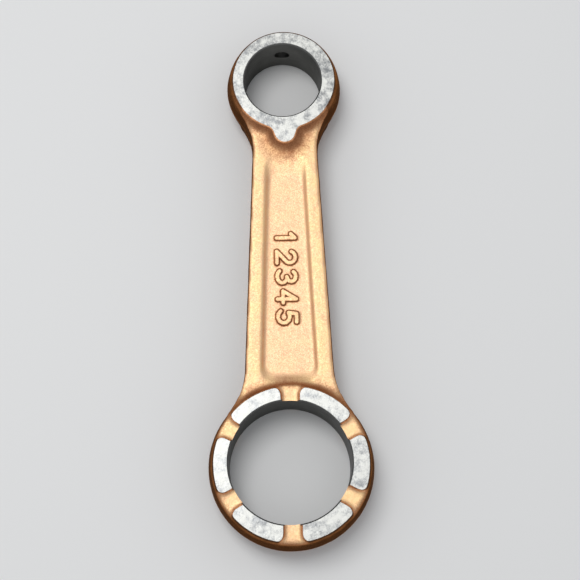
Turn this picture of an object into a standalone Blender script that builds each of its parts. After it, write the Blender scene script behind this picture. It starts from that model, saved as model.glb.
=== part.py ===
"""Connecting rod of a small two-stroke engine: one steel forging, with both ends machined.

The rod lies flat. +Z is its thickness, and +Y runs from the big end to the small end. The origin is the
centre of the underside's bounding box, so the lower machined faces lie on z = 0.
"""

import math

import bmesh
import bpy
from mathutils import Matrix, Vector

MM = 0.001

# Ends
CENTRE_DISTANCE = 85.0 * MM
THICKNESS = 12.25 * MM
BIG_BORE_RADIUS = 13.0 * MM
BIG_FACE_RADIUS = 16.45 * MM
BIG_OUTER_RADIUS = 17.5 * MM
SMALL_BORE_RADIUS = 8.5 * MM
SMALL_FACE_RADIUS = 11.6 * MM
SMALL_OUTER_RADIUS = 12.6 * MM
BORE_CHAMFER = 0.45 * MM
EDGE_BREAK = 0.3 * MM

# Shank: an I section that widens towards the big end
SHANK_THICKNESS = 9.2 * MM
SHANK_EDGE_RADIUS = 0.8 * MM
NECK_Y = 68.0 * MM
NECK_HALF_WIDTH = 6.9 * MM
ROOT_Y = 24.0 * MM
ROOT_HALF_WIDTH = 9.1 * MM
NECK_FILLET = 15.0 * MM
ROOT_FILLET = 18.0 * MM
ARC_POINTS = 8

# Channel sunk into each side of the shank; its y values are measured from the big end's centre
CHANNEL_DEPTH = 1.4 * MM
CHANNEL_TOP_Y = 66.0 * MM
CHANNEL_TOP_HALF_WIDTH = 4.3 * MM
CHANNEL_BOTTOM_Y = 17.6 * MM
CHANNEL_BOTTOM_HALF_WIDTH = 6.1 * MM
CHANNEL_CORNER_RADIUS = 2.2 * MM
CHANNEL_FLOOR_FILLET = 0.9 * MM

# Lug below the small end's ring, and the oil passages
LUG_RADIUS = 2.5 * MM
LUG_DISTANCE = 12.3 * MM
GROOVE_COUNT = 6
GROOVE_WIDTH = 3.6 * MM
GROOVE_DEPTH = 0.9 * MM
OIL_HOLE_RADIUS = 1.7 * MM

# Raised placeholder digits on the upper web
DIGITS = "12345"
DIGIT_WIDTH = 2.6 * MM
DIGIT_HEIGHT = 4.0 * MM
DIGIT_PITCH = 4.45 * MM
DIGIT_STROKE_RADIUS = 0.5 * MM
DIGIT_RISE = 0.4 * MM
DIGITS_CENTRE_Y = 40.3 * MM

ROUND_STEPS = 96
BAR_SIDES = 24
CLEAR = 1.0 * MM  # how far a cutter runs past the metal

HALF = THICKNESS / 2
LENGTH = BIG_OUTER_RADIUS + CENTRE_DISTANCE + SMALL_OUTER_RADIUS
BIG_Y = BIG_OUTER_RADIUS - LENGTH / 2
SMALL_Y = BIG_Y + CENTRE_DISTANCE
MID_Z = HALF
WEB_Z = SHANK_THICKNESS / 2 - CHANNEL_DEPTH

COPPER = (0.72, 0.40, 0.24, 1.0)


def new_collection(name):
    collection = bpy.data.collections.new(name)
    bpy.context.scene.collection.children.link(collection)
    return collection


def add_object(name, mesh, collection):
    obj = bpy.data.objects.new(name, mesh)
    collection.objects.link(obj)
    return obj


def copper_material():
    material = bpy.data.materials.new("copper_plated_steel")
    material.use_nodes = True
    shader = material.node_tree.nodes["Principled BSDF"]
    shader.inputs["Base Color"].default_value = COPPER
    shader.inputs["Metallic"].default_value = 1.0
    shader.inputs["Roughness"].default_value = 0.45
    return material


def turned(name, profile, centre_y, collection):
    """A solid of revolution about the vertical line through (0, centre_y), from a profile of (radius, z)."""
    mesh = bpy.data.meshes.new(name)
    points = [(radius, 0.0, z) for radius, z in profile]
    mesh.from_pydata(points, [(i, i + 1) for i in range(len(points) - 1)], [])
    obj = add_object(name, mesh, collection)
    obj.location = (0.0, centre_y, MID_Z)
    screw = obj.modifiers.new("turn", "SCREW")
    screw.steps = ROUND_STEPS
    screw.render_steps = ROUND_STEPS
    screw.use_merge_vertices = True
    screw.merge_threshold = 0.00001
    return obj


def end_blank(name, face_radius, outer_radius, centre_y, collection):
    """One end before boring: a disc whose wall drafts outwards from each face to the parting line."""
    upper = [
        (0.0, HALF),
        (face_radius, HALF),
        (face_radius + EDGE_BREAK, HALF - EDGE_BREAK),
        (outer_radius, 2 * EDGE_BREAK),
    ]
    lower = [(radius, -z) for radius, z in reversed(upper)]
    return turned(name, upper + lower, centre_y, collection)


def bore_cutter(name, radius, centre_y, collection):
    """The bored hole with a 45 degree chamfer at each face."""
    flare = radius + BORE_CHAMFER + CLEAR
    upper = [(0.0, HALF + CLEAR), (flare, HALF + CLEAR), (radius, HALF - BORE_CHAMFER)]
    lower = [(r, -z) for r, z in reversed(upper)]
    return turned(name, upper + lower, centre_y, collection)


def mesh_from_curve(obj, collection):
    """Replaces a curve object by a welded mesh object of the same name and place."""
    bpy.context.view_layer.update()
    evaluated = obj.evaluated_get(bpy.context.evaluated_depsgraph_get())
    mesh = bpy.data.meshes.new_from_object(evaluated)
    welded = bmesh.new()
    welded.from_mesh(mesh)
    bmesh.ops.remove_doubles(welded, verts=welded.verts, dist=0.000005)
    bmesh.ops.recalc_face_normals(welded, faces=welded.faces)
    welded.to_mesh(mesh)
    welded.free()
    name, matrix = obj.name, obj.matrix_world.copy()
    bpy.data.objects.remove(obj)
    solid = add_object(name, mesh, collection)
    solid.matrix_world = matrix
    return solid


def plate(name, outline, half_thickness, edge_radius, z, collection):
    """An extruded outline with rounded edges, centred on height z."""
    curve = bpy.data.curves.new(name, "CURVE")
    curve.dimensions = "2D"
    curve.fill_mode = "BOTH"
    curve.extrude = half_thickness - edge_radius
    curve.bevel_depth = edge_radius
    curve.bevel_resolution = 2
    curve.offset = -edge_radius
    spline = curve.splines.new("POLY")
    spline.points.add(len(outline) - 1)
    for point, (x, y) in zip(spline.points, outline):
        point.co = (x, y, 0.0, 1.0)
    spline.use_cyclic_u = True
    obj = add_object(name, curve, collection)
    obj.location = (0.0, 0.0, z)
    return mesh_from_curve(obj, collection)


def arc(centre, radius, start, end, count):
    """Points on an arc from angle start to angle end, both in radians and both included."""
    steps = [start + (end - start) * i / (count - 1) for i in range(count)]
    return [(centre[0] + radius * math.cos(a), centre[1] + radius * math.sin(a)) for a in steps]


def flare_arc(half_width, wall_y, end_radius, end_y, fillet):
    """The fillet that joins the right side of the shank to the round end, from the wall to the end."""
    reach = math.sqrt((end_radius + fillet) ** 2 - (half_width + fillet) ** 2)
    side = 1 if end_y > wall_y else -1
    centre = (half_width + fillet, end_y - side * reach)
    meet = math.atan2(end_y - centre[1], -centre[0])
    meet = meet if meet > 0 else meet + 2 * math.pi
    return arc(centre, fillet, math.pi, meet, ARC_POINTS)


def shank_outline():
    """The right half from the big end up to the small end, then its mirror image back down."""
    root = flare_arc(ROOT_HALF_WIDTH, BIG_Y + ROOT_Y, BIG_OUTER_RADIUS, BIG_Y, ROOT_FILLET)
    neck = flare_arc(NECK_HALF_WIDTH, BIG_Y + NECK_Y, SMALL_OUTER_RADIUS, SMALL_Y, NECK_FILLET)
    inner = [(root[-1][0] * 0.8, BIG_Y + BIG_BORE_RADIUS * 0.5)]
    outer = [(neck[-1][0] * 0.8, SMALL_Y - SMALL_BORE_RADIUS * 0.5)]
    right = inner + root[::-1] + neck + outer
    left = [(-x, y) for x, y in reversed(right)]
    return right + left


def channel_outline():
    """A tapered slot with rounded corners."""
    corners = [
        (CHANNEL_BOTTOM_HALF_WIDTH, BIG_Y + CHANNEL_BOTTOM_Y, -math.pi / 2),
        (CHANNEL_TOP_HALF_WIDTH, BIG_Y + CHANNEL_TOP_Y, 0.0),
    ]
    right = []
    for half_width, end_y, start in corners:
        inward = 1 if start < 0 else -1
        centre = (half_width - CHANNEL_CORNER_RADIUS, end_y + inward * CHANNEL_CORNER_RADIUS)
        right += arc(centre, CHANNEL_CORNER_RADIUS, start, start + math.pi / 2, ARC_POINTS)
    return right + [(-x, y) for x, y in reversed(right)]


def bar(name, radius, start, end, collection):
    """A round bar between two points, turned so that a side and not an edge faces up and down."""
    start, end = Vector(start), Vector(end)
    length = (end - start).length
    bpy.ops.mesh.primitive_cylinder_add(vertices=BAR_SIDES, radius=radius, depth=length)
    obj = bpy.context.object
    obj.name = name
    turn = (end - start).to_track_quat("Z", "Y").to_matrix().to_4x4()
    half_side = Matrix.Rotation(math.pi / BAR_SIDES, 4, "Z")
    obj.matrix_world = Matrix.Translation((start + end) / 2) @ turn @ half_side
    for holder in obj.users_collection:
        holder.objects.unlink(obj)
    collection.objects.link(obj)
    return obj


def groove_cutter(name, angle, side, collection):
    """A bar laid across one land, so that it leaves a round-bottomed groove."""
    radius = (GROOVE_WIDTH**2 / 4 + GROOVE_DEPTH**2) / (2 * GROOVE_DEPTH)
    z = MID_Z + side * (HALF - GROOVE_DEPTH + radius)
    ends = []
    for distance in (BIG_BORE_RADIUS - CLEAR, BIG_OUTER_RADIUS + CLEAR):
        ends.append((distance * math.cos(angle), BIG_Y + distance * math.sin(angle), z))
    return bar(name, radius, ends[0], ends[1], collection)


def digit_strokes(digit):
    """The centre lines of a digit's strokes, on a grid one wide and one high."""
    if digit == "1":
        return [[(0.2, 0.78), (0.55, 1.0), (0.55, 0.0)]]
    if digit == "2":
        bowl = [(0.5 + 0.5 * x, 0.7 + 0.3 * y) for x, y in arc((0, 0), 1, math.radians(160), -0.6, 7)]
        return [bowl + [(0.0, 0.0), (1.0, 0.0)]]
    if digit == "3":
        upper = [(0.45 + 0.45 * x, 0.76 + 0.24 * y) for x, y in arc((0, 0), 1, 2.6, -1.5, 7)]
        lower = [(0.45 + 0.55 * x, 0.27 + 0.27 * y) for x, y in arc((0, 0), 1, 1.4, -2.6, 7)]
        return [upper + lower]
    if digit == "4":
        return [[(1.0, 0.3), (0.0, 0.3), (0.68, 1.0), (0.68, 0.0)]]
    bowl = [(0.45 + 0.55 * x, 0.32 + 0.32 * y) for x, y in arc((0, 0), 1, 2.2, -2.6, 8)]
    return [[(0.92, 1.0), (0.22, 1.0)] + bowl]


def digit_solid(index, digit, collection):
    """One digit as a round stroke half sunk in the web. It reads towards the big end, its top at +X."""
    curve = bpy.data.curves.new(f"digit_{index + 1}", "CURVE")
    curve.dimensions = "3D"
    curve.bevel_depth = DIGIT_STROKE_RADIUS
    curve.bevel_resolution = 1
    curve.use_fill_caps = True
    middle = (len(DIGITS) - 1) / 2
    centre_y = BIG_Y + DIGITS_CENTRE_Y + (middle - index) * DIGIT_PITCH
    z = MID_Z + WEB_Z + DIGIT_RISE - DIGIT_STROKE_RADIUS
    for stroke in digit_strokes(digit):
        spline = curve.splines.new("POLY")
        spline.points.add(len(stroke) - 1)
        for point, (u, v) in zip(spline.points, stroke):
            x = (v - 0.5) * DIGIT_HEIGHT
            y = centre_y - (u - 0.5) * DIGIT_WIDTH
            point.co = (x, y, z, 1.0)
    obj = add_object(f"digit_{index + 1}", curve, collection)
    return mesh_from_curve(obj, collection)


def combine(target, other, operation, crosses_itself=False):
    modifier = target.modifiers.new(other.name, "BOOLEAN")
    modifier.operation = operation
    modifier.solver = "EXACT"
    modifier.use_self = crosses_itself
    modifier.object = other
    other.hide_render = True
    other.display_type = "WIRE"


def build():
    for obj in list(bpy.data.objects):
        bpy.data.objects.remove(obj)
    parts = new_collection("connecting_rod")
    helpers = new_collection("rod_cutters")

    rod = plate("rod_forging", shank_outline(), SHANK_THICKNESS / 2, SHANK_EDGE_RADIUS, MID_Z, parts)
    rod.data.materials.append(copper_material())

    added = [
        end_blank("big_end_blank", BIG_FACE_RADIUS, BIG_OUTER_RADIUS, BIG_Y, helpers),
        end_blank("small_end_blank", SMALL_FACE_RADIUS, SMALL_OUTER_RADIUS, SMALL_Y, helpers),
    ]
    lug_y = SMALL_Y - LUG_DISTANCE
    added.append(bar("lug", LUG_RADIUS, (0, lug_y, 0), (0, lug_y, THICKNESS), helpers))
    for piece in added:
        combine(rod, piece, "UNION")

    removed = []
    for side, face in ((1, "upper"), (-1, "lower")):
        # The cutter's inner face is the web; its outer half stands clear of the flanges.
        z = MID_Z + side * (WEB_Z + THICKNESS / 2)
        name = f"{face}_channel"
        removed.append(plate(name, channel_outline(), THICKNESS / 2, CHANNEL_FLOOR_FILLET, z, helpers))
        for i in range(GROOVE_COUNT):
            angle = math.pi / 2 + i * 2 * math.pi / GROOVE_COUNT
            removed.append(groove_cutter(f"{face}_groove_{i + 1}", angle, side, helpers))
    removed.append(bore_cutter("big_bore", BIG_BORE_RADIUS, BIG_Y, helpers))
    removed.append(bore_cutter("small_bore", SMALL_BORE_RADIUS, SMALL_Y, helpers))
    crown_y = SMALL_Y + SMALL_OUTER_RADIUS + CLEAR
    removed.append(bar("oil_hole", OIL_HOLE_RADIUS, (0, SMALL_Y, MID_Z), (0, crown_y, MID_Z), helpers))
    for cutter in removed:
        combine(rod, cutter, "DIFFERENCE")

    for index, digit in enumerate(DIGITS):
        combine(rod, digit_solid(index, digit, helpers), "UNION", crosses_itself=True)

    rod.data.shade_smooth()
    rod.data.set_sharp_from_angle(angle=math.radians(30))


build()
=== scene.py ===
# %% [markdown]
# # A forged connecting rod
# This is the rod that joins the crank pin of a small two-stroke engine to its piston. It is one piece of
# steel: hammered to shape in a pair of dies, plated with copper, and then machined bright again where it
# has to run true. The script makes it in that order. First comes a soft, slightly oversize forging, then
# the flat faces and bores are cut into it, and each cut leaves its own finish behind.

# %% Load the frame
import math

import bmesh
import bpy
import numpy as np
from mathutils import Euler, Matrix, Vector, kdtree, noise


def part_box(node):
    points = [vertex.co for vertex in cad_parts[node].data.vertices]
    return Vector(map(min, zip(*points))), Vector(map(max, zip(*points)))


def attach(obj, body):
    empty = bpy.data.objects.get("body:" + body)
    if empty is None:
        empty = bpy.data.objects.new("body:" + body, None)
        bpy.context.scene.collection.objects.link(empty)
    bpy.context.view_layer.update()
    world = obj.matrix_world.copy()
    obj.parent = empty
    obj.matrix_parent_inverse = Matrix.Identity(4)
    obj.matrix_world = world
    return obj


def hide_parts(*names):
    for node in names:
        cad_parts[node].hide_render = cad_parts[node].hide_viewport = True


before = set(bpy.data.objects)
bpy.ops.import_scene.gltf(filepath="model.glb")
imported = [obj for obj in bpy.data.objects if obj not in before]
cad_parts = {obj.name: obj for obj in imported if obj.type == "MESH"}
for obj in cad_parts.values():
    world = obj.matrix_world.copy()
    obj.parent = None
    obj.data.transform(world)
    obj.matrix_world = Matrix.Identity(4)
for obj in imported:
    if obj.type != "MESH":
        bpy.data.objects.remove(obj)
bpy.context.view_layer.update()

MM = 0.001
TINY = 0.001 * MM
low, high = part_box("rod_forging")
print("CAD box in mm:", [round(side / MM, 2) for side in high - low])

# %% [markdown]
# ## Driving sizes
# The frame's box settles where everything is: the rod lies along Y with its lower faces on z = 0, the big
# end at -Y and the small end at +Y. Half the box's width is the big end's radius, so its centre lies that
# far inside the box, and the small end's centre is one centre distance further on. A forging is never
# quite centred on the bores that are machined into it later: this one sits a quarter of a millimetre to +X
# of them, and its big end a little to -Y, which leaves the lands uneven, as on the real rod.

# %% Driving sizes
THICKNESS = high.z - low.z
HALF = THICKNESS / 2
BIG_OUTER = (high.x - low.x) / 2
SMALL_OUTER = 12.6 * MM
CENTRE_DISTANCE = 85.0 * MM
BIG_CENTRE = Vector((0, low.y + BIG_OUTER, HALF))
SMALL_CENTRE = BIG_CENTRE + Vector((0, CENTRE_DISTANCE, 0))
BIG_BORE = 13.0 * MM
SMALL_BORE = 8.5 * MM
BIG_FACE = 16.43 * MM
SMALL_FACE = 11.32 * MM
SHANK_HALF = 4.6 * MM
OFFSET = Vector((0.26 * MM, 0, 0))
BIG_DROP = Vector((0, 0.4 * MM, 0))
FORGED_BIG = BIG_CENTRE + OFFSET - BIG_DROP
FORGED_SMALL = SMALL_CENTRE + OFFSET
UP = Vector((0, 0, 1))
print("ends at y in mm:", round(BIG_CENTRE.y / MM, 2), round(SMALL_CENTRE.y / MM, 2))

# %% [markdown]
# ## Helpers
# A bmesh holds a shape while it is being made, and an object shows it. Boolean and Remesh work as
# modifiers on objects, so a shape goes through `as_object`, and `settled` reads back what the modifiers
# made of it. Almost everything here is the same above and below mid-thickness, because the two dies are
# alike, so shapes are made about z = 0 and `both_sides` mirrors them and lifts them into place.

# %% Helpers
def as_object(shape, name):
    mesh = bpy.data.meshes.new(name)
    shape.to_mesh(mesh)
    shape.free()
    made = bpy.data.objects.new(name, mesh)
    bpy.context.scene.collection.objects.link(made)
    return made


def combine(target, other, operation):
    step = target.modifiers.new(other.name, "BOOLEAN")
    step.operation = operation
    step.solver = "EXACT"
    step.object = other


def settled(made):
    """A bmesh of the object as its modifiers leave it."""
    bpy.context.view_layer.update()
    evaluated = made.evaluated_get(bpy.context.evaluated_depsgraph_get())
    mesh = bpy.data.meshes.new_from_object(evaluated)
    shape = bmesh.new()
    shape.from_mesh(mesh)
    bpy.data.meshes.remove(mesh)
    return shape


def discard(objects):
    for each in objects:
        bpy.data.objects.remove(each)


def everything(shape):
    return shape.verts[:] + shape.edges[:] + shape.faces[:]


def both_sides(shape):
    """Mirrors everything in the bmesh to below z = 0, turns all faces outwards and lifts it into place."""
    bmesh.ops.mirror(shape, geom=everything(shape), matrix=Matrix.Identity(4), merge_dist=TINY, axis="Z")
    bmesh.ops.recalc_face_normals(shape, faces=shape.faces)
    bmesh.ops.translate(shape, verts=shape.verts, vec=HALF * UP)

# %% [markdown]
# ## Turned solids
# Both ends of the forging, the fillets round them and the boring tools are all turned shapes. Each one is
# a half profile with its ends on the axis, spun a full turn. Spin with `use_merge` closes the seam, and
# `remove_doubles` closes the two poles.

# %% Turned solids
TURN_STEPS = 180


def turned(upper, centre):
    """A solid of revolution, the same above and below its centre, from (radius, height) points going out."""
    profile = [(0, upper[0][1])] + upper
    profile += [(radius, -height) for radius, height in reversed(profile)]
    shape = bmesh.new()
    points = [shape.verts.new((radius, 0, height)) for radius, height in profile]
    edges = [shape.edges.new(pair) for pair in zip(points, points[1:])]
    bmesh.ops.spin(
        shape, geom=points + edges, cent=(0, 0, 0), axis=UP, dvec=(0, 0, 0),
        angle=2 * math.pi, steps=TURN_STEPS, use_merge=True, use_duplicate=False,
    )
    bmesh.ops.remove_doubles(shape, verts=shape.verts, dist=TINY)
    bmesh.ops.recalc_face_normals(shape, faces=shape.faces)
    bmesh.ops.translate(shape, verts=shape.verts, vec=centre)
    return shape

# %% [markdown]
# ## The two ends of the forging
# A die can only let go of a forging whose walls lean back from the parting line, so each end is a barrel:
# widest at mid-height and narrower at each face. It is made a little too tall, and the machining takes
# that allowance off again. `BARREL_CURVE` says how far the wall has swelled out at each share of the half
# height.

# %% The two ends of the forging
ALLOWANCE = 0.75 * MM
TOP = HALF + ALLOWANCE
BARREL_CURVE = ((0.10, 0.95), (0.45, 0.78), (0.80, 0.48), (1.0, 0.08))


def barrel(face_radius, outer_radius, centre, name):
    swell = outer_radius - face_radius
    wall = [(face_radius + share * swell, height * HALF) for share, height in BARREL_CURVE]
    return as_object(turned([(face_radius, TOP)] + wall, centre), name)


big_barrel = barrel(BIG_FACE, BIG_OUTER, FORGED_BIG, "big_barrel")
small_barrel = barrel(SMALL_FACE, SMALL_OUTER, FORGED_SMALL, "small_barrel")
print("barrel height with allowance in mm:", round(2 * TOP / MM, 2))

# %% [markdown]
# ## The shank
# Seen from above, the shank is a taper that sweeps into both ends along arcs. Each arc touches the shank's
# side and a circle a little inside the round end, so its centre follows from a right-angled triangle, and
# spinning one vertex about that centre draws it. The outline is filled, inset by the dies' draft and lifted
# to the flanges' height, and the lower half is its mirror image.

# %% The shank
NECK_HALF = 7.2 * MM
ROOT_HALF = 9.45 * MM
NECK_FILLET = 15.0 * MM
ROOT_FILLET = 18.0 * MM
SHANK_DRAFT = 0.22 * MM
FLARE_LAP = 0.24 * MM
ARC_STEPS = 14
BIG_INNER = Vector((0.7 * BIG_OUTER, FORGED_BIG.y + 0.3 * BIG_OUTER, 0))
SMALL_INNER = Vector((0.6 * SMALL_OUTER, FORGED_SMALL.y - 0.3 * SMALL_OUTER, 0))


def flare(shape, half_width, end_centre, end_radius, fillet, towards):
    """Draws the right-hand arc from the shank's side to an end, and returns its first and last vertex."""
    across = half_width + fillet
    run = math.sqrt((end_radius + fillet) ** 2 - across**2)
    centre = Vector((across, end_centre.y - towards * run, 0))
    first = shape.verts.new(centre - Vector((fillet, 0, 0)))
    swept = bmesh.ops.spin(
        shape, geom=[first], cent=centre, axis=UP, dvec=(0, 0, 0), angle=-towards * math.atan2(run, across),
        steps=ARC_STEPS, use_merge=False, use_duplicate=False,
    )
    return first, swept["geom_last"][0]


def shank_plan():
    """A bmesh whose one face is the shank seen from above, running well inside both ends."""
    shape = bmesh.new()
    root_first, root_last = flare(shape, ROOT_HALF, FORGED_BIG, BIG_OUTER - FLARE_LAP, ROOT_FILLET, -1)
    neck_first, neck_last = flare(shape, NECK_HALF, FORGED_SMALL, SMALL_OUTER - FLARE_LAP, NECK_FILLET, 1)
    big_inner = shape.verts.new(BIG_INNER)
    small_inner = shape.verts.new(SMALL_INNER)
    for pair in ((big_inner, root_last), (root_first, neck_first), (neck_last, small_inner)):
        shape.edges.new(pair)
    right = shape.verts[:]
    left = bmesh.ops.duplicate(shape, geom=right + shape.edges[:])["vert_map"]
    bmesh.ops.scale(shape, verts=[left[v] for v in right], vec=(-1, 1, 1))
    for inner in (big_inner, small_inner):
        shape.edges.new((inner, left[inner]))
    bmesh.ops.edgeloop_fill(shape, edges=shape.edges)
    bmesh.ops.recalc_face_normals(shape, faces=shape.faces)
    bmesh.ops.translate(shape, verts=shape.verts, vec=OFFSET)
    return shape


def drafted(shape, height, draft, name):
    """A solid on a plan, leaning in by draft over height, above and below mid-thickness."""
    shape.faces.ensure_lookup_table()
    plan = shape.faces[0]
    if plan.normal.z < 0:
        plan.normal_flip()
    bmesh.ops.inset_region(
        shape, faces=[plan], thickness=draft, use_boundary=True, use_even_offset=True,
    )
    bmesh.ops.translate(shape, verts=plan.verts, vec=height * UP)
    both_sides(shape)
    return as_object(shape, name)


shank = drafted(shank_plan(), SHANK_HALF, SHANK_DRAFT, "shank")
print("shank width in mm:", round(2 * NECK_HALF / MM, 1), "to", round(2 * ROOT_HALF / MM, 1))

# %% [markdown]
# ## Fillets and the lug
# Steel flows badly round a sharp inner corner, so the flanges climb to the faces over a hollow fillet. It
# is a turned collar with a quarter ellipse for a flank, kept only where it stands over the shank: an
# intersection with the shank's own plan trims it. The lug below the small end is the same shape, smaller,
# with a second one behind it for its neck.

# %% Fillets and the lug
LUG_RADIUS = 2.2 * MM
LUG_CENTRE = FORGED_SMALL - Vector((0, 12.3 * MM, 0))
LUG_ROOT_RADIUS = 2.8 * MM
LUG_ROOT_CENTRE = FORGED_SMALL - Vector((0, 10.6 * MM, 0))
BIG_SPREAD = 1.9 * MM
SMALL_SPREAD = 2.6 * MM
LUG_SPREAD = 2.9 * MM
LUG_ROOT_SPREAD = 2.6 * MM
SUNK = 0.05 * MM
FLANK_STEPS = 8


def collar(radius, spread, centre, name):
    """A boss with a hollow flank, whose foot spreads that far and is sunk a hair into the flanges."""
    lift = TOP - SHANK_HALF + SUNK
    flank = []
    for step in range(FLANK_STEPS + 1):
        angle = math.pi / 2 * step / FLANK_STEPS
        flank.append((radius + spread * (1 - math.cos(angle)), TOP - lift * math.sin(angle)))
    made = as_object(turned(flank, centre), name)
    trim = drafted(shank_plan(), 2 * HALF, SHANK_DRAFT, "trim")
    combine(made, trim, "INTERSECT")
    trimmed = as_object(settled(made), name)
    discard([made, trim])
    return trimmed


big_fillet = collar(BIG_FACE, BIG_SPREAD, FORGED_BIG, "big_fillet")
small_fillet = collar(SMALL_FACE, SMALL_SPREAD, FORGED_SMALL, "small_fillet")
lug = collar(LUG_RADIUS, LUG_SPREAD, LUG_CENTRE, "lug")
lug_root = collar(LUG_ROOT_RADIUS, LUG_ROOT_SPREAD, LUG_ROOT_CENTRE, "lug_root")
print("fillets and lug trimmed over the shank, foot sunk in mm:", round(SUNK / MM, 2))

# %% [markdown]
# ## Channels
# The die also sinks a channel into each side of the shank, which leaves an I section: light, yet stiff.
# Its cutter starts as four corners, rounded by a vertex bevel. The rim is extruded up, out of the metal,
# and the floor is inset and pushed down. The floor's ends are then drawn in, so that the channel runs out
# in ramps at both ends.

# %% Channels
CLEAR = 2.0 * MM
CORNER_STEPS = 6


def hollow_tool(corners, rounding, wall, depth):
    """A cutter from its rim's corners: walls lean in by wall over depth. Returns the bmesh and its floor."""
    shape = bmesh.new()
    points = [shape.verts.new(corner) for corner in corners]
    shape.faces.new(points)
    bmesh.ops.bevel(
        shape, geom=points, offset=rounding, offset_type="OFFSET", segments=CORNER_STEPS, profile=0.5,
        material=-1, affect="VERTICES",
    )
    extruded = bmesh.ops.extrude_face_region(shape, geom=shape.faces[:])["geom"]
    lid = [each for each in extruded if isinstance(each, bmesh.types.BMVert)]
    bmesh.ops.translate(shape, verts=lid, vec=CLEAR * UP)
    level = corners[0].z + TINY
    floor = next(face for face in shape.faces if face.calc_center_median().z < level)
    bmesh.ops.inset_region(
        shape, faces=[floor], thickness=wall, use_boundary=True, use_even_offset=True,
    )
    bmesh.ops.translate(shape, verts=floor.verts, vec=-depth * UP)
    return shape, floor


CHANNEL_DEPTH = 0.70 * MM
CHANNEL_TOP = Vector((4.3 * MM, BIG_CENTRE.y + 68.8 * MM, SHANK_HALF))
CHANNEL_BOTTOM = Vector((6.2 * MM, BIG_CENTRE.y + 16.9 * MM, SHANK_HALF))
CHANNEL_MIDDLE = (CHANNEL_TOP.y + CHANNEL_BOTTOM.y) / 2
CHANNEL_WALL = 0.66 * MM
CHANNEL_CORNER = 2.8 * MM
TOP_RAMP = 4.6 * MM
BOTTOM_RAMP = 1.8 * MM
TO_LEFT = Vector((-1, 1, 1))

rim = [CHANNEL_BOTTOM, CHANNEL_TOP, CHANNEL_TOP * TO_LEFT, CHANNEL_BOTTOM * TO_LEFT]
shape, web = hollow_tool(rim, CHANNEL_CORNER, CHANNEL_WALL, CHANNEL_DEPTH)
top_end = [v for v in web.verts if v.co.y > CHANNEL_MIDDLE]
bottom_end = [v for v in web.verts if v.co.y < CHANNEL_MIDDLE]
bmesh.ops.translate(shape, verts=top_end, vec=(0, -TOP_RAMP, 0))
bmesh.ops.translate(shape, verts=bottom_end, vec=(0, BOTTOM_RAMP, 0))
bmesh.ops.translate(shape, verts=shape.verts, vec=OFFSET)
both_sides(shape)
channels = as_object(shape, "channels")
combine(shank, channels, "DIFFERENCE")
print("web thickness in mm:", round(2 * (SHANK_HALF - CHANNEL_DEPTH) / MM, 1))

# %% [markdown]
# ## Oil grooves
# Six shallow grooves on each side of the big end let oil reach the crank pin's bearing. They open out where
# they leave the ring, so the lands between them have round outer corners. `hollow_tool` makes one groove's
# cutter as it made the channel's, and Spin with `use_duplicate` copies it round the ring.

# %% Oil grooves
GROOVE_COUNT = 6
GROOVE_HALF = 1.95 * MM
GROOVE_DEPTH = 0.55 * MM
GROOVE_WALL = 0.18 * MM
GROOVE_FLARE = 1.3 * MM
FLARE_START = 15.3 * MM
GROOVE_CORNER = 0.6 * MM

right = [
    Vector((GROOVE_HALF, BIG_BORE - CLEAR, 0)),
    Vector((GROOVE_HALF, FLARE_START, 0)),
    Vector((GROOVE_HALF + GROOVE_FLARE, FLARE_START + GROOVE_FLARE, 0)),
    Vector((GROOVE_HALF + GROOVE_FLARE, BIG_OUTER + CLEAR, 0)),
]
rim = right + [corner * TO_LEFT for corner in reversed(right)]
rim = [corner + Vector((FORGED_BIG.x, FORGED_BIG.y, HALF)) for corner in rim]
shape, _ = hollow_tool(rim, GROOVE_CORNER, GROOVE_WALL, GROOVE_DEPTH)
bmesh.ops.spin(
    shape, geom=everything(shape), cent=FORGED_BIG, axis=UP, dvec=(0, 0, 0), steps=GROOVE_COUNT - 1,
    angle=2 * math.pi * (1 - 1 / GROOVE_COUNT), use_merge=False, use_duplicate=True,
)
both_sides(shape)
grooves = as_object(shape, "grooves")
combine(big_barrel, grooves, "DIFFERENCE")
combine(big_fillet, grooves, "DIFFERENCE")
print("groove depth and width in mm:", round(GROOVE_DEPTH / MM, 2), round(2 * GROOVE_HALF / MM, 2))

# %% [markdown]
# ## The forging's skin
# Real forgings have no sharp edges, because hot steel doesn't quite fill the corners of a die. All the
# solids go into one mesh, still overlapping. A voxel Remesh keeps only their common outside as one even
# skin, and a Smooth modifier rounds every edge by about the same small radius. The digits and a slight
# unevenness come next, and after them only cutting tools touch this shape.

# %% The forging's skin
VOXEL = 0.34 * MM
SOFTENING = 5
SMOOTHING = 0.5

overlapping = bmesh.new()
solids = [shank, big_barrel, small_barrel, big_fillet, small_fillet, lug, lug_root]
for solid in solids:
    part = settled(solid)
    mesh = bpy.data.meshes.new("part")
    part.to_mesh(mesh)
    part.free()
    overlapping.from_mesh(mesh)
    bpy.data.meshes.remove(mesh)
discard(solids + [channels, grooves])

blank = as_object(overlapping, "blank")
remesh = blank.modifiers.new("skin", "REMESH")
remesh.mode = "VOXEL"
remesh.voxel_size = VOXEL
soften = blank.modifiers.new("soften", "SMOOTH")
soften.factor = SMOOTHING
soften.iterations = SOFTENING
forging = settled(blank)
discard([blank])
print("skin:", len(forging.verts), "vertices,", len(forging.faces), "faces")

# %% [markdown]
# ## Raised digits
# A forging carries a number raised from its web. These digits are only a placeholder row. Each one is a
# few strokes on a grid one wide and one high. The web's faces round them are cut finer, and every vertex
# near a stroke is lifted: fully along the stroke's flat top, and less and less down its flank.

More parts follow.
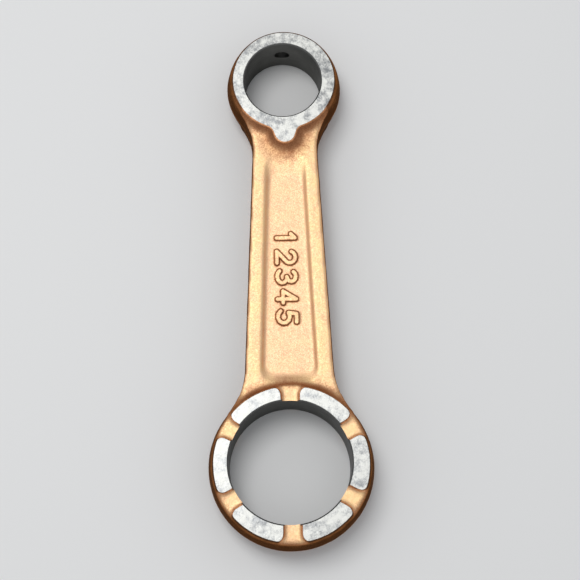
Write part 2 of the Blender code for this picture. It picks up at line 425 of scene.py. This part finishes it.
# %% Raised digits
WEB_Z = HALF + SHANK_HALF - CHANNEL_DEPTH
DIGITS = "12345"
DIGIT_WIDTH = 2.6 * MM
DIGIT_HEIGHT = 4.0 * MM
DIGIT_PITCH = 4.45 * MM
DIGITS_CENTRE = BIG_CENTRE.y + 40.3 * MM
STROKE_HALF = 0.40 * MM
STROKE_FLANK = 0.26 * MM
STROKE_RISE = 0.36 * MM


def bow(centre, radii, start, end, count=9):
    """Points along part of an ellipse, between two angles in radians."""
    angles = [start + (end - start) * i / (count - 1) for i in range(count)]
    return [(centre[0] + radii[0] * math.cos(a), centre[1] + radii[1] * math.sin(a)) for a in angles]


STROKES = {
    "1": [(0.2, 0.78), (0.55, 1.0), (0.55, 0.0)],
    "2": bow((0.5, 0.7), (0.5, 0.3), 2.8, -0.6) + [(0.0, 0.0), (1.0, 0.0)],
    "3": bow((0.45, 0.76), (0.45, 0.24), 2.6, -1.5) + bow((0.45, 0.27), (0.55, 0.27), 1.4, -2.6),
    "4": [(1.0, 0.3), (0.0, 0.3), (0.68, 1.0), (0.68, 0.0)],
    "5": [(0.92, 1.0), (0.22, 1.0)] + bow((0.45, 0.32), (0.55, 0.32), 2.2, -2.6),
}


def stroke_segments():
    """Both ends of every straight piece of every digit, on the web, as two arrays of (x, y)."""
    starts, stops = [], []
    for index, digit in enumerate(DIGITS):
        middle = DIGITS_CENTRE + ((len(DIGITS) - 1) / 2 - index) * DIGIT_PITCH
        placed = [((v - 0.5) * DIGIT_HEIGHT, middle - (u - 0.5) * DIGIT_WIDTH) for u, v in STROKES[digit]]
        starts += placed[:-1]
        stops += placed[1:]
    return np.array(starts), np.array(stops)


def distance_to_strokes(points):
    """Each (x, y) point's distance to the nearest stroke."""
    starts, stops = stroke_segments()
    along = stops - starts
    offset = points[:, None, :] - starts[None, :, :]
    share = (offset * along).sum(2) / (along * along).sum(1)
    nearest = np.clip(share, 0, 1)[:, :, None] * along
    return np.linalg.norm(offset - nearest, axis=2).min(1)


def near_digits(point, margin):
    reach = len(DIGITS) / 2 * DIGIT_PITCH + margin
    on_web = WEB_Z - margin < point.z < WEB_Z + margin
    return on_web and abs(point.x) < DIGIT_HEIGHT / 2 + margin and abs(point.y - DIGITS_CENTRE) < reach


MARGIN = 0.7 * MM
FINER_CUTS = 3
web_faces = {f for f in forging.faces if near_digits(f.calc_center_median(), MARGIN)}
web_edges = [e for e in forging.edges if not web_faces.isdisjoint(e.link_faces)]
bmesh.ops.subdivide_edges(forging, edges=web_edges, cuts=FINER_CUTS, use_grid_fill=True)
raised = [v for v in forging.verts if near_digits(v.co, MARGIN)]
distances = distance_to_strokes(np.array([v.co.xy for v in raised]))
for vertex, distance in zip(raised, distances):
    share = min(max((STROKE_HALF + STROKE_FLANK - distance) / STROKE_FLANK, 0), 1)
    vertex.co.z += STROKE_RISE * share * share * (3 - 2 * share)
print("digits:", DIGITS, "from", len(raised), "vertices")

# %% [markdown]
# ## Uneven like a forging
# Scale and shot blasting leave a forged skin slightly uneven. Noise along the normals does the same: a
# broad wave of a few hundredths of a millimetre, with a finer one on top. Where the dies met, a little
# steel squeezed out all round and was trimmed off again, which leaves a low ridge at mid-thickness.

# %% Uneven like a forging
PARTING_RISE = 0.13 * MM
PARTING_HALF = 0.55 * MM
WAVE = 0.035 * MM
RIPPLE = 0.014 * MM
WAVE_SIZE = 4.0 * MM
RIPPLE_SIZE = 0.9 * MM

forging.normal_update()
for vertex in forging.verts:
    wave = noise.noise(vertex.co / WAVE_SIZE)
    ripple = noise.noise(vertex.co / RIPPLE_SIZE)
    from_parting = min(abs(vertex.co.z - HALF) / PARTING_HALF, 1)
    parting = (1 - from_parting**2) ** 2 * (1 - abs(vertex.normal.z)) * PARTING_RISE
    vertex.co += vertex.normal * (WAVE * wave + RIPPLE * ripple + parting)
print("unevenness in mm:", round((WAVE + RIPPLE) / MM, 3))

# %% [markdown]
# ## Hollows and ridges
# Plating and polishing reach a hollow less than a ridge. How hollow a spot is shows when the skin is
# smoothed: a ridge sinks, and a hollow rises. Smoothing it a little finds the fine hollows, and smoothing it
# a lot finds the broad ones.

# %% Hollows and ridges
FINE_ROUNDS = 6
BROAD_ROUNDS = 46


def neighbour_pairs(shape):
    shape.verts.index_update()
    return np.array([[v.index for v in e.verts] for e in shape.edges])


def averaged(values, pairs, rounds):
    """The values after each has taken its neighbours' mean so many times."""
    count = np.bincount(pairs.ravel(), minlength=len(values))
    for _ in range(rounds):
        total = np.bincount(pairs[:, 0], values[pairs[:, 1]], len(values))
        total += np.bincount(pairs[:, 1], values[pairs[:, 0]], len(values))
        values = total / count
    return values


def ramp(values, start, end):
    share = np.clip((values - start) / (end - start), 0, 1)
    return share * share * (3 - 2 * share)


forging.normal_update()
pairs = neighbour_pairs(forging)
points = np.array([v.co for v in forging.verts])
normals = np.array([v.normal for v in forging.verts])


def hollowness(rounds):
    """How far each point lies below its smoothed surroundings, in millimetres."""
    smooth = np.stack([averaged(points[:, axis], pairs, rounds) for axis in range(3)], axis=1)
    return ((smooth - points) * normals).sum(1) / MM


fine, broad = hollowness(FINE_ROUNDS), hollowness(BROAD_ROUNDS)
print("hollows in mm, fine and broad:", round(fine.max(), 3), round(broad.max(), 3))

# %% [markdown]
# ## Where the skin is tarnished and painted with shade
# One share from 0 to 1 for each point of the skin says how dark the copper is painted. It is the strongest
# of these: tarnish in the hollows; painted shade on the fillets that climb to the faces, except for their
# upper edge, which is kept bright as a painted highlight; painted shade on the ground beside them, below
# the lug and round both ends; painted shade on the steep walls, a little less on the parting ridge, which
# is kept lighter as a painted highlight; and a thin dark line round the foot of each digit. A second share
# marks the slopes, which are painted a redder copper as painted shade. Both are kept with each point, to
# be looked up again once the machining has changed the mesh.

# %% Where the skin is tarnished and painted with shade
# How dark each place is painted: the two hollows are tarnish, the digit's foot is a dark line, and all the
# other places are painted shade.
STRENGTH = {
    "climbing": 0.60,
    "beside": 0.46,
    "below the lug": 0.58,
    "small tail": 0.72,
    "big tail": 0.56,
    "fine hollow": 0.22,
    "broad hollow": 0.20,
    "steep": 1.02,
    "slope": 0.06,
    "digit's foot": 0.60,
}
FINE_RANGE = (0.03, 0.14)  # hollowness in millimetres, as the next one
BROAD_RANGE = (0.20, 0.60)
CLIMB_RANGE = (SHANK_HALF + 0.03 * MM, SHANK_HALF + 0.5 * MM)  # from mid-thickness, as the next two
LIT_EDGE_RANGE = (HALF - 0.42 * MM, HALF - 0.05 * MM)
CREST_RANGE = (0.08 * MM, 0.5 * MM)
FACE_RANGE = (BIG_FACE - 0.2 * MM, BIG_FACE)
BESIDE_RANGE = (0.4 * MM, 3.4 * MM)
BELOW_LUG_RANGE = (0.3 * MM, 6.5 * MM)
SMALL_TAIL_RANGE = (FORGED_SMALL.y - 11.5 * MM, FORGED_SMALL.y - 6.5 * MM)
BIG_TAIL_RANGE = (FORGED_BIG.y + 11.5 * MM, FORGED_BIG.y + 17.0 * MM)
STEEP_RANGE = (0.10, 0.66)  # the upward share of the normal, as the next one
SHADED_SLOPE_RANGE = (0.62, 0.97)
PATCH_ROUNDS = 8
# How far the lit upper edge and the parting ridge's crest are kept clear of painted shade, as painted
# highlights.
EDGE_LIT = 0.85
CREST_LIT = 0.30
FOOT_PLACE = 0.7  # as a share of the way down a stroke's flank
TARNISH_AND_SHADE_LEVEL = 0.4


def strongest(places):
    """The largest of several shares at each point, each times the strength of that place."""
    return np.max([STRENGTH[name] * share for name, share in places.items()], axis=0)


from_big = np.linalg.norm(points[:, :2] - FORGED_BIG.xy, axis=1)
from_small = np.linalg.norm(points[:, :2] - FORGED_SMALL.xy, axis=1)
from_lug = np.linalg.norm(points[:, :2] - LUG_CENTRE.xy, axis=1)
above_middle = np.abs(points[:, 2] - HALF)
upward = np.abs(normals[:, 2])
outside = ramp(from_big, *FACE_RANGE) * (from_small > SMALL_BORE)
climbing = ramp(above_middle, *CLIMB_RANGE)
# Painted highlight: just under each face the skin is kept clear of painted shade, as if lit.
lit_edge = ramp(above_middle, *LIT_EDGE_RANGE)
gap = np.min([from_big - BIG_FACE, from_small - SMALL_FACE, from_lug - LUG_RADIUS], axis=0)
beside = 1 - ramp(gap, *BESIDE_RANGE)
below_lug = 1 - ramp(from_lug - LUG_RADIUS, *BELOW_LUG_RANGE)
small_tail = ramp(points[:, 1], *SMALL_TAIL_RANGE)
big_tail = 1 - ramp(points[:, 1], *BIG_TAIL_RANGE)
# Painted shade on the fillets, beside the ends, below the lug and round both ends, blurred into soft patches
# and kept off the lit upper edge.
shade_patches = strongest({
    "climbing": climbing * outside,
    "beside": beside * outside,
    "below the lug": below_lug,
    "small tail": small_tail * outside,
    "big tail": big_tail * outside,
})
shade_patches = averaged(shade_patches, pairs, PATCH_ROUNDS) * (1 - EDGE_LIT * lit_edge)
# Painted shade on the steep walls, kept lighter on the parting ridge's crest as a painted highlight.
crest = 1 - ramp(above_middle, *CREST_RANGE)
steep = 1 - ramp(upward, *STEEP_RANGE)
# Painted shade: slopes are marked to be painted a redder copper than flat tops.
shaded_slope = 1 - ramp(upward, *SHADED_SLOPE_RANGE)
foot = np.zeros(len(points))
for vertex, distance in zip(raised, distances):
    foot[vertex.index] = math.exp(-(((distance - STROKE_HALF) / STROKE_FLANK - FOOT_PLACE) ** 2))
# Tarnish in the hollows and painted shade elsewhere, whichever is darker at each point.
tarnish_and_shade = np.maximum(shade_patches, strongest({
    "fine hollow": ramp(fine, *FINE_RANGE),
    "broad hollow": ramp(broad, *BROAD_RANGE),
    "steep": steep * (1 - CREST_LIT * crest),
    "slope": shaded_slope,
    "digit's foot": foot,
}))
skin_points = kdtree.KDTree(len(forging.verts))
for vertex in forging.verts:
    skin_points.insert(vertex.co, vertex.index)
skin_points.balance()
print("share of the skin that is tarnished:", round(float((tarnish_and_shade > TARNISH_AND_SHADE_LEVEL).mean()), 2))

# %% [markdown]
# ## Ground faces
# Grinding takes the allowance off both ends at once, above and below. Each `bisect_plane` clears what
# stands out beyond the plane, and filling the cut's edge loops leaves one flat face on each end. The cut
# is a hair low, and the new face is inset and raised to its height again, so that a fine broken edge
# catches the light.

# %% Ground faces
EDGE_WIDTH = 0.22 * MM
EDGE_DROP = 0.07 * MM
RIM_ROUNDS = 3


def grind(shape, side):
    """Cuts one side flat, with a broken edge, and returns how many flat faces that leaves."""
    level = HALF + side * (HALF - EDGE_DROP)
    bmesh.ops.bisect_plane(
        shape, geom=everything(shape), dist=TINY, plane_co=(0, 0, level), plane_no=side * UP,
        clear_outer=True,
    )
    cut = [v for v in shape.verts if v.is_boundary]
    bmesh.ops.remove_doubles(shape, verts=cut, dist=EDGE_WIDTH)
    rim = [v for v in shape.verts if v.is_boundary]
    for _ in range(RIM_ROUNDS):
        bmesh.ops.smooth_vert(shape, verts=rim, factor=0.5, use_axis_x=True, use_axis_y=True)
    made = bmesh.ops.edgeloop_fill(shape, edges=[e for e in shape.edges if e.is_boundary])["faces"]
    for face in made:
        face.normal_update()
        if face.normal.z * side < 0:
            face.normal_flip()
    bmesh.ops.inset_region(shape, faces=made, thickness=EDGE_WIDTH, use_even_offset=False)
    bmesh.ops.translate(shape, verts=list({v for f in made for v in f.verts}), vec=side * EDGE_DROP * UP)
    return len(made)


print("ground faces:", grind(forging, 1), "above,", grind(forging, -1), "below")

# %% [markdown]
# ## Bores and the oil hole
# Each bore is cut by a turned tool whose waist is the bore and whose ends flare out, which breaks the
# bore's edges in the same pass. A drill through the small end's crown brings oil to the piston pin.

# %% Bores and the oil hole
CHAMFER = 0.28 * MM
OIL_HOLE = 1.7 * MM
DRILL_SIDES = 40


def boring_tool(radius, centre, name):
    flared = [(radius + CHAMFER + CLEAR, HALF + CLEAR), (radius, HALF - CHAMFER)]
    return as_object(turned(flared, centre), name)


def drill(radius, name):
    shape = bmesh.new()
    length = SMALL_OUTER + CLEAR
    bmesh.ops.create_cone(
        shape, cap_ends=True, segments=DRILL_SIDES, radius1=radius, radius2=radius, depth=length,
        matrix=Matrix.Rotation(math.pi / 2, 4, "X"),
    )
    middle = SMALL_CENTRE + Vector((0, length / 2, 0))
    bmesh.ops.translate(shape, verts=shape.verts, vec=middle)
    return as_object(shape, name)


tools = [
    boring_tool(BIG_BORE, BIG_CENTRE, "big_bore"),
    boring_tool(SMALL_BORE, SMALL_CENTRE, "small_bore"),
    drill(OIL_HOLE, "oil_hole"),
]
machined = as_object(forging, "machined")
for tool in tools:
    combine(machined, tool, "DIFFERENCE")
rod_shape = settled(machined)
discard([machined, *tools])
open_edges = sum(1 for e in rod_shape.edges if not e.is_manifold)
print("rod:", len(rod_shape.verts), "vertices,", len(rod_shape.faces), "faces,", open_edges, "open edges")

# %% [markdown]
# ## Which finish goes where
# Every face of the finished rod is plated, ground flat or bored, and its place and direction say which.
# An edge is sharp where two finishes meet or where the skin bends hard, and smooth everywhere else.

# %% Which finish goes where
PLATED, GROUND, BORED = 0, 1, 2
LEVEL = 0.99  # the least upward share of a ground face's normal
LEANING = 0.8  # and the most for a bore's wall and its chamfers
CREASE = math.radians(38)


def finish_of(face):
    centre = face.calc_center_median()
    if abs(abs(centre.z - HALF) - HALF) < TINY and abs(face.normal.z) > LEVEL:
        return GROUND
    on_wall = abs(face.normal.z) < LEANING
    for radius, middle in ((BIG_BORE, BIG_CENTRE), (SMALL_BORE, SMALL_CENTRE)):
        if on_wall and (centre.xy - middle.xy).length < radius + CHAMFER + TINY:
            return BORED
    across = math.hypot(centre.x, centre.z - SMALL_CENTRE.z)
    if centre.y > SMALL_CENTRE.y and across < OIL_HOLE + TINY:
        return BORED
    return PLATED


rod_shape.normal_update()
for face in rod_shape.faces:
    face.material_index = finish_of(face)
    face.smooth = True
for edge in rod_shape.edges:
    kinds = {face.material_index for face in edge.link_faces}
    edge.smooth = len(kinds) == 1 and edge.calc_face_angle(0) < CREASE
areas = [0, 0, 0]
for face in rod_shape.faces:
    areas[face.material_index] += face.calc_area() / MM**2
print("plated, ground and bored areas in mm2:", [round(area) for area in areas])

# %% [markdown]
# ## The rod's mesh and its attributes
# Cutting has changed the mesh, so every point looks up the nearest spot of the skin before it was cut and
# takes over its share of tarnish and painted shade and its share of shaded slope. Both go into the mesh as
# attributes, for the plating to read.

# %% The rod's mesh and its attributes
tarnish_and_shade_layer = rod_shape.verts.layers.float.new("tarnish_and_shade")
shaded_slope_layer = rod_shape.verts.layers.float.new("shaded_slope")
for vertex in rod_shape.verts:
    nearest = skin_points.find(vertex.co)[1]
    vertex[tarnish_and_shade_layer] = tarnish_and_shade[nearest]
    vertex[shaded_slope_layer] = shaded_slope[nearest]
rod = as_object(rod_shape, "connecting_rod")
rod.data.calc_loop_triangles()
print("finished rod:", len(rod.data.loop_triangles), "triangles")

# %% [markdown]
# ## Helpers for materials
# A material is a graph of nodes. `node` adds one: it takes the node's own settings, and its inputs by name
# or number, where an input is either a value or another node's output to link from. The other helpers are
# built on it: noise of a given size, a smooth step, sums, colour mixes and a relief that tilts the light.

# %% Helpers for materials
def node(tree, kind, inputs=(), **settings):
    made = tree.nodes.new("ShaderNode" + kind)
    for name, value in settings.items():
        setattr(made, name, value)
    for name, value in dict(inputs).items():
        if isinstance(value, bpy.types.NodeSocket):
            tree.links.new(value, made.inputs[name])
        else:
            made.inputs[name].default_value = value
    return made


def new_material(name):
    material = bpy.data.materials.new(name)
    material.use_nodes = True
    tree = material.node_tree
    return material, tree, tree.nodes["Principled BSDF"]


def noise_on(tree, place, size, detail=2.0, roughness=0.5, stretch=(1, 1, 1)):
    """Noise whose blobs are about one size across, stretched along an axis where asked."""
    mapping = node(tree, "Mapping", {"Vector": place, "Scale": [1 / (size * s) for s in stretch]})
    made = node(tree, "TexNoise", {"Vector": mapping.outputs[0], "Scale": 1.0, "Detail": detail,
                                   "Roughness": roughness})
    return made.outputs["Fac"]


def between(tree, value, low_in, high_in, low_out=0.0, high_out=1.0):
    """Maps a range of a value to another range, smoothly, and holds it there outside."""
    made = node(tree, "MapRange", {"Value": value, "From Min": low_in, "From Max": high_in,
                                   "To Min": low_out, "To Max": high_out},
                interpolation_type="SMOOTHSTEP")
    return made.outputs["Result"]


def math_node(tree, operation, first, second):
    return node(tree, "Math", {0: first, 1: second}, operation=operation).outputs[0]


def weighted_sum(tree, *terms):
    """Adds up (value, weight) pairs, in their order."""
    products = [math_node(tree, "MULTIPLY", value, weight) for value, weight in terms]
    total = products[0]
    for product in products[1:]:
        total = math_node(tree, "ADD", total, product)
    return total


def mix_colour(tree, factor, first, second):
    made = node(tree, "Mix", {0: factor, 6: first, 7: second}, data_type="RGBA")
    return made.outputs[2]


def raise_relief(tree, shader, height):
    """Tilts the surface as if it stood out by this height, in metres."""
    bump = node(tree, "Bump", {"Height": height, "Strength": 1.0, "Distance": 1.0})
    tree.links.new(bump.outputs[0], shader.inputs["Normal"])

# %% [markdown]
# ## Copper plating
# The plating is thin and follows the blasted steel, so it is a metal with a fine grit and no gloss. The tops
# are painted a pale gold as a painted highlight, and the slopes a redder copper as painted shade. The
# hollows keep a brown tarnish, and the steep walls, fillets and corners by the ends are painted brown as
# painted shade, in soft patches.

# %% Copper plating
# The paler gold is a painted highlight for the tops and the redder copper painted shade for the slopes. The
# brown and the dark brown are tarnish in the hollows and painted shade on walls, fillets and ends.
HIGHLIGHT_GOLD = (0.90, 0.63, 0.335, 1)
PINK = (0.90, 0.56, 0.36, 1)
SHADED_SLOPE_RED = (0.99, 0.54, 0.28, 1)
TARNISH_AND_SHADE_BROWN = (0.42, 0.185, 0.085, 1)
TARNISH_AND_SHADE_DARK = (0.100, 0.053, 0.032, 1)
COPPER_EDGE_TINT = (0.50, 0.36, 0.26, 1)
LIT_TOP_DEPTH = 1.3 * MM
CLOUD_SIZE = 2.6 * MM
PEEL_SIZE = 1.1 * MM
GRAIN_SIZE = 0.33 * MM
GRIT_SIZE = 0.15 * MM
PEEL_HEIGHT = 0.030 * MM
GRAIN_HEIGHT = 0.034 * MM
GRIT_HEIGHT = 0.020 * MM
PLATING_ROUGHNESS = (0.46, 0.60)

copper, tree, shader = new_material("copper_plating")
place = node(tree, "TexCoord").outputs["Object"]
tarnished_and_shaded = node(tree, "Attribute", attribute_name="tarnish_and_shade").outputs["Fac"]
height = node(tree, "SeparateXYZ", {0: place}).outputs["Z"]
from_middle = math_node(tree, "ABSOLUTE", math_node(tree, "SUBTRACT", height, HALF), 0.0)
# Painted highlight: skin at the flanges' height and above is painted a paler gold than the channel.
lit_top = between(tree, from_middle, SHANK_HALF - LIT_TOP_DEPTH, SHANK_HALF)

clouds = noise_on(tree, place, CLOUD_SIZE, detail=4.0, roughness=0.6)
peel = noise_on(tree, place, PEEL_SIZE, detail=2.0)
grain = noise_on(tree, place, GRAIN_SIZE, detail=3.0, roughness=0.7)
grit = noise_on(tree, place, GRIT_SIZE, detail=2.0, roughness=0.6)
# How dark the copper is painted, from tarnish and painted shade, with random cloudy and grainy tone.
darkening = math_node(tree, "ADD", tarnished_and_shaded, between(tree, clouds, 0.3, 0.75, -0.06, 0.10))
darkening = math_node(tree, "ADD", darkening, between(tree, grain, 0.35, 0.70, -0.06, 0.08))

# Paler gold painted on the tops as highlight, redder copper painted on the slopes as shade, then brown and
# dark brown for tarnish and painted shade.
base = mix_colour(tree, lit_top, PINK, HIGHLIGHT_GOLD)
base = mix_colour(tree, between(tree, clouds, 0.35, 0.65, 0.0, 0.5), base, PINK)
base = mix_colour(tree, node(tree, "Attribute", attribute_name="shaded_slope").outputs["Fac"], base, SHADED_SLOPE_RED)
brown = mix_colour(tree, between(tree, darkening, 0.0, 0.62), base, TARNISH_AND_SHADE_BROWN)
tree.links.new(mix_colour(tree, between(tree, darkening, 0.5, 1.0), brown, TARNISH_AND_SHADE_DARK), shader.inputs["Base Color"])
shader.inputs["Metallic"].default_value = 1.0
shader.inputs["Specular Tint"].default_value = COPPER_EDGE_TINT
tree.links.new(between(tree, grain, 0.3, 0.7, *PLATING_ROUGHNESS), shader.inputs["Roughness"])
relief = weighted_sum(tree, (grit, GRIT_HEIGHT), (grain, GRAIN_HEIGHT), (peel, PEEL_HEIGHT))
raise_relief(tree, shader, relief)
rod.data.materials.append(copper)
print("grit, grain and peel in mm:", [round(size / MM, 2) for size in (GRIT_SIZE, GRAIN_SIZE, PEEL_SIZE)])

# %% [markdown]
# ## Ground steel
# The faces are bright steel that was ground flat and then handled. The sheen breaks up into patches a
# millimetre or two across, some brighter and some duller, with fine scratches in three directions.

# %% Ground steel
GROUND_LIGHT = (0.64, 0.64, 0.605, 1)
GROUND_DARK = (0.215, 0.221, 0.225, 1)
HAZE_SIZE = 4.2 * MM
BLOTCH_SIZE = 1.5 * MM
SPECK_SIZE = 0.35 * MM
BUFFED_SIZE = 1.2 * MM
BUFFED_HEIGHT = 0.034 * MM
SCRATCH_WIDTH = 0.13 * MM
SCRATCH_STRETCH = 18
SCRATCH_DEPTH = 0.0020 * MM
SCRATCH_GLINT = 0.30
SCRATCH_TURNS = (0.4, 1.3, 2.4)  # radians
GROUND_ROUGHNESS = (0.32, 0.50)

ground, tree, shader = new_material("ground_steel")
place = node(tree, "TexCoord").outputs["Object"]
haze = noise_on(tree, place, HAZE_SIZE, detail=2.0)
blotches = noise_on(tree, place, BLOTCH_SIZE, detail=4.0, roughness=0.55)
specks = noise_on(tree, place, SPECK_SIZE, detail=3.0, roughness=0.6, stretch=(1, 1.4, 1))
mottle = weighted_sum(tree, (haze, 0.35), (blotches, 0.40), (specks, 0.25))
scratches = 0.0
for turn in SCRATCH_TURNS:
    turned_place = node(tree, "Mapping", {"Vector": place, "Rotation": (0, 0, turn)}).outputs[0]
    lines = noise_on(tree, turned_place, SCRATCH_WIDTH, detail=1.0, stretch=(SCRATCH_STRETCH, 1, 1))
    scratches = math_node(tree, "ADD", scratches, between(tree, lines, 0.62, 0.78))
glint = math_node(tree, "MULTIPLY", scratches, SCRATCH_GLINT)
light = math_node(tree, "ADD", between(tree, mottle, 0.39, 0.60), glint)
tree.links.new(mix_colour(tree, light, GROUND_DARK, GROUND_LIGHT), shader.inputs["Base Color"])
shader.inputs["Metallic"].default_value = 1.0
tree.links.new(between(tree, mottle, 0.40, 0.60, *GROUND_ROUGHNESS), shader.inputs["Roughness"])
buffed = noise_on(tree, place, BUFFED_SIZE, detail=3.0)
raise_relief(tree, shader, weighted_sum(tree, (scratches, -SCRATCH_DEPTH), (buffed, BUFFED_HEIGHT)))
rod.data.materials.append(ground)
print("scratches:", len(SCRATCH_TURNS), "directions, width in mm:", round(SCRATCH_WIDTH / MM, 2))

# %% [markdown]
# ## Bored steel
# The bores are honed: an even grey, painted darker than bare steel as painted shade, with fine rings
# left by the tool round the wall.

# %% Bored steel
# Both greys are darker than honed steel, as painted shade.
BORED_LIGHT = (0.23, 0.23, 0.22, 1)
BORED_DARK = (0.13, 0.13, 0.125, 1)
BORED_EDGE_TINT = (0.45, 0.45, 0.45, 1)
RING_WIDTH = 0.10 * MM
RING_STRETCH = 60
RING_HEIGHT = 0.004 * MM
STAIN_SIZE = 2.5 * MM
BORED_ROUGHNESS = (0.28, 0.42)

bored, tree, shader = new_material("bored_steel")
place = node(tree, "TexCoord").outputs["Object"]
rings = noise_on(tree, place, RING_WIDTH, detail=2.0, stretch=(RING_STRETCH, RING_STRETCH, 1))
stain = noise_on(tree, place, STAIN_SIZE, detail=3.0)
tree.links.new(mix_colour(tree, stain, BORED_DARK, BORED_LIGHT), shader.inputs["Base Color"])
shader.inputs["Metallic"].default_value = 1.0
shader.inputs["Specular Tint"].default_value = BORED_EDGE_TINT
tree.links.new(between(tree, rings, 0.3, 0.7, *BORED_ROUGHNESS), shader.inputs["Roughness"])
raise_relief(tree, shader, weighted_sum(tree, (rings, RING_HEIGHT)))
rod.data.materials.append(bored)
print("finishes on the rod:", [material.name for material in rod.data.materials])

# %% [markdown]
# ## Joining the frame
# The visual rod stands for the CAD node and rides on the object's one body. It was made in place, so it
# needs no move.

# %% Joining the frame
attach(rod, "root")
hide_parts("rod_forging")
print("rod's place and turn:", list(rod.location), list(rod.rotation_euler))

# %% [markdown]
# ## Floor
# The floor is a plain pale sheet with a dull finish, level with the lower ground faces.

# %% Floor
FLOOR_SIDE = 4.0
FLOOR_COLOUR = (0.80, 0.80, 0.79, 1)
FLOOR_ROUGHNESS = 0.6

shape = bmesh.new()
bmesh.ops.create_grid(shape, x_segments=1, y_segments=1, size=FLOOR_SIDE / 2)
floor = as_object(shape, "floor")
paper, tree, shader = new_material("pale_floor")
shader.inputs["Base Color"].default_value = FLOOR_COLOUR
shader.inputs["Roughness"].default_value = FLOOR_ROUGHNESS
floor.data.materials.append(paper)
print("floor's side in m:", FLOOR_SIDE)

# %% [markdown]
# ## Light
# One large soft light stands high up and to the left, so that the left-hand ground faces mirror it and the
# right-hand ones mirror it less. An even grey sky fills the shadows.

# %% Light
KEY_PLACE = Vector((-0.125, 0.125, 0.60))
KEY_SIZE = (0.24, 0.30)
KEY_POWER = 1.45
SKY_COLOUR = (0.55, 0.56, 0.58, 1)
SKY_STRENGTH = 0.95


def soft_light(name, place, aim, size, power):
    data = bpy.data.lights.new(name, "AREA")
    data.shape = "RECTANGLE"
    data.size, data.size_y = size
    data.energy = power
    made = bpy.data.objects.new(name, data)
    made.location = place
    made.rotation_euler = (aim - place).to_track_quat("-Z", "Y").to_euler()
    bpy.context.scene.collection.objects.link(made)


soft_light("key", KEY_PLACE, Vector((0, 0, 0)), KEY_SIZE, KEY_POWER)
world = bpy.data.worlds.new("studio")
world.use_nodes = True
sky = world.node_tree.nodes["Background"]
sky.inputs["Color"].default_value = SKY_COLOUR
sky.inputs["Strength"].default_value = SKY_STRENGTH
bpy.context.scene.world = world
bpy.context.scene.view_settings.view_transform = "Standard"
print("key light's distance in mm:", round(KEY_PLACE.length / MM))

# %% [markdown]
# ## Camera
# A long lens looks down on the rod from near its big end, so the bores' far walls show.

# %% Camera
SENSOR_WIDTH = 36.0
LENS = 93.1
CAMERA_PLACE = Vector((-2.21 * MM, -81.0 * MM, 323.9 * MM))
CAMERA_TILT, CAMERA_LEAN, CAMERA_TURN = math.radians(14.03), math.radians(-0.24), math.radians(-1.17)
NEAREST_SEEN = 0.01

camera_data = bpy.data.cameras.new("camera")
camera_data.sensor_width = SENSOR_WIDTH
camera_data.lens = LENS
camera_data.clip_start = NEAREST_SEEN
camera = bpy.data.objects.new("camera", camera_data)
camera.location = CAMERA_PLACE
camera.rotation_euler = Euler((CAMERA_TILT, CAMERA_LEAN, CAMERA_TURN))
bpy.context.scene.collection.objects.link(camera)
bpy.context.scene.camera = camera
print("camera's height above the floor in mm:", round(CAMERA_PLACE.z / MM, 1))

bpy.context.view_layer.update()
